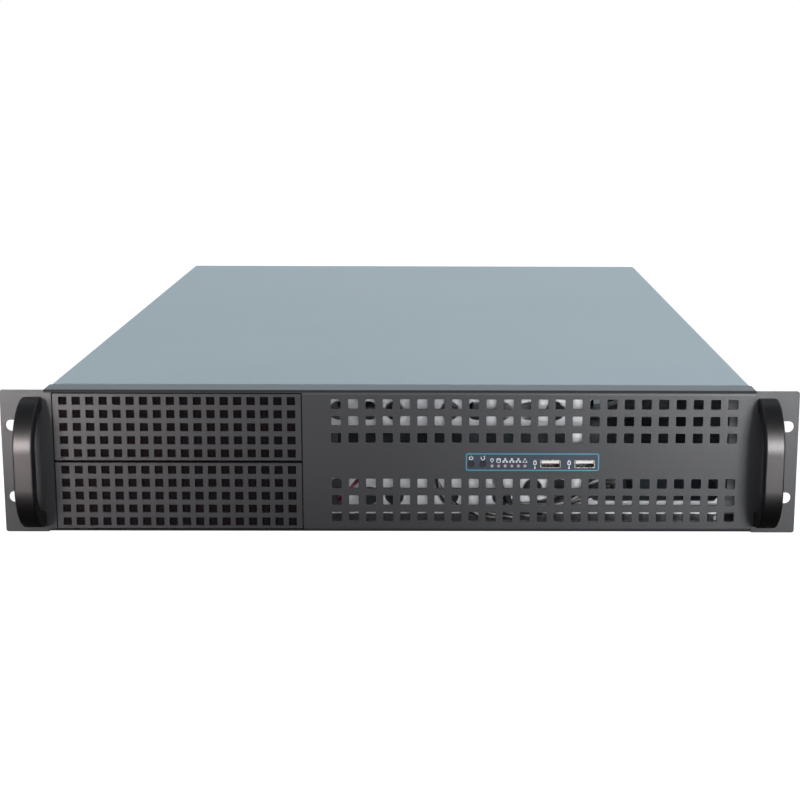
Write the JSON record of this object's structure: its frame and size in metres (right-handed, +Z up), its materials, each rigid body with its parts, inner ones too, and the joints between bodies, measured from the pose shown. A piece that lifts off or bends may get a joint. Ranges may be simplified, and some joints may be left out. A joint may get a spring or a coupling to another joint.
{
  "type": "rackmount server case",
  "caption": "Empty rackmount case two units high, with perforated drive bay covers, a grille, front controls, arched handles, a sliding top cover and a fan wall.",
  "frame": {"origin": "on the surface under the case, below the middle of its box", "axes": "+X right as seen from the front, +Y from the front panel to the rear, +Z up"},
  "size_m": [0.4826, 0.6898, 0.0881],
  "materials": {
    "panel_black": "fine matte black powder coat",
    "cover_grey": "smooth blue-grey coated sheet",
    "galvanised": "plain galvanised sheet",
    "handle_black": "semi-gloss black",
    "fan_black": "moulded black",
    "screw_steel": "zinc plated",
    "brass": "turned",
    "board_green": "solder mask",
    "socket_metal": "bright plated",
    "socket_insert": "moulded",
    "lamp_clear": "clear moulded",
    "button_black": "moulded",
    "lead_black": "soft jacket",
    "lead_red": "soft jacket",
    "plug_white": "moulded nylon"
  },
  "bodies": {
    "case": {"bay_cage": "galvanised", "board_screws": "screw_steel", "board_spacers": "brass", "board_standoffs": "brass", "chassis_tray": "cover_grey", "control_board": "board_green", "fan_frame_1": "fan_black", "fan_frame_2": "fan_black", "fan_frame_3": "fan_black", "fan_frame_4": "fan_black", "fan_screws": "screw_steel", "fan_wall": "galvanised", "front_panel": "panel_black", "handle_screws": "screw_steel", "hard_drive_cage": "galvanised", "inner_front_wall": "galvanised", "led_1": "lamp_clear", "led_2": "lamp_clear", "led_3": "lamp_clear", "led_4": "lamp_clear", "led_5": "lamp_clear", "led_6": "lamp_clear", "left_handle": "handle_black", "panel_screws": "screw_steel", "power_supply_bracket": "galvanised", "power_switch": "socket_insert", "rear_panel": "galvanised", "red_lead": "lead_red", "red_plug": "plug_white", "reset_switch": "socket_insert", "right_handle": "handle_black", "slot_cover_1": "galvanised", "slot_cover_2": "galvanised", "slot_cover_3": "galvanised", "slot_cover_4": "galvanised", "slot_cover_5": "galvanised", "slot_cover_6": "galvanised", "slot_cover_7": "galvanised", "slot_rail": "galvanised", "slot_screws": "screw_steel", "switch_lead": "lead_black", "switch_plug": "plug_white", "usb_insert_1": "socket_insert", "usb_insert_2": "socket_insert", "usb_lead": "lead_black", "usb_plug": "socket_insert", "usb_port_1": "socket_metal", "usb_port_2": "socket_metal"},
    "cover": {"top_cover": "cover_grey", "cover_thumbscrews": "screw_steel"},
    "upper_cover": {"upper_bay_cover": "panel_black"},
    "lower_cover": {"lower_bay_cover": "panel_black"},
    "power_cap": {"power_button": "button_black"},
    "reset_cap": {"reset_button": "button_black"},
    "rotor_1": {"fan_rotor_1": "fan_black"},
    "rotor_2": {"fan_rotor_2": "fan_black"},
    "rotor_3": {"fan_rotor_3": "fan_black"},
    "rotor_4": {"fan_rotor_4": "fan_black"}
  },
  "joints": [
    {"name": "cover_slide", "type": "slide", "parent": "case", "child": "cover", "axis": [0, 1, 0], "range_m": [0, 0.6]},
    {"name": "upper_cover_pull", "type": "slide", "parent": "case", "child": "upper_cover", "axis": [0, -1, 0], "range_m": [0, 0.055]},
    {"name": "lower_cover_pull", "type": "slide", "parent": "case", "child": "lower_cover", "axis": [0, -1, 0], "range_m": [0, 0.055]},
    {"name": "power_press", "type": "slide", "parent": "case", "child": "power_cap", "axis": [0, 1, 0], "range_m": [0, 0.001], "stiffness_N_per_m": 2000, "springref_m": -0.0003},
    {"name": "reset_press", "type": "slide", "parent": "case", "child": "reset_cap", "axis": [0, 1, 0], "range_m": [0, 0.001], "stiffness_N_per_m": 2000, "springref_m": -0.0003},
    {"name": "fan_spin_1", "type": "hinge", "parent": "case", "child": "rotor_1", "pos_m": [-0.15, 0.0488, 0.0434], "axis": [0, 1, 0], "continuous": true},
    {"name": "fan_spin_2", "type": "hinge", "parent": "case", "child": "rotor_2", "pos_m": [-0.05, 0.0488, 0.0434], "axis": [0, 1, 0], "continuous": true},
    {"name": "fan_spin_3", "type": "hinge", "parent": "case", "child": "rotor_3", "pos_m": [0.05, 0.0488, 0.0434], "axis": [0, 1, 0], "continuous": true},
    {"name": "fan_spin_4", "type": "hinge", "parent": "case", "child": "rotor_4", "pos_m": [0.15, 0.0488, 0.0434], "axis": [0, 1, 0], "continuous": true}
  ]
}
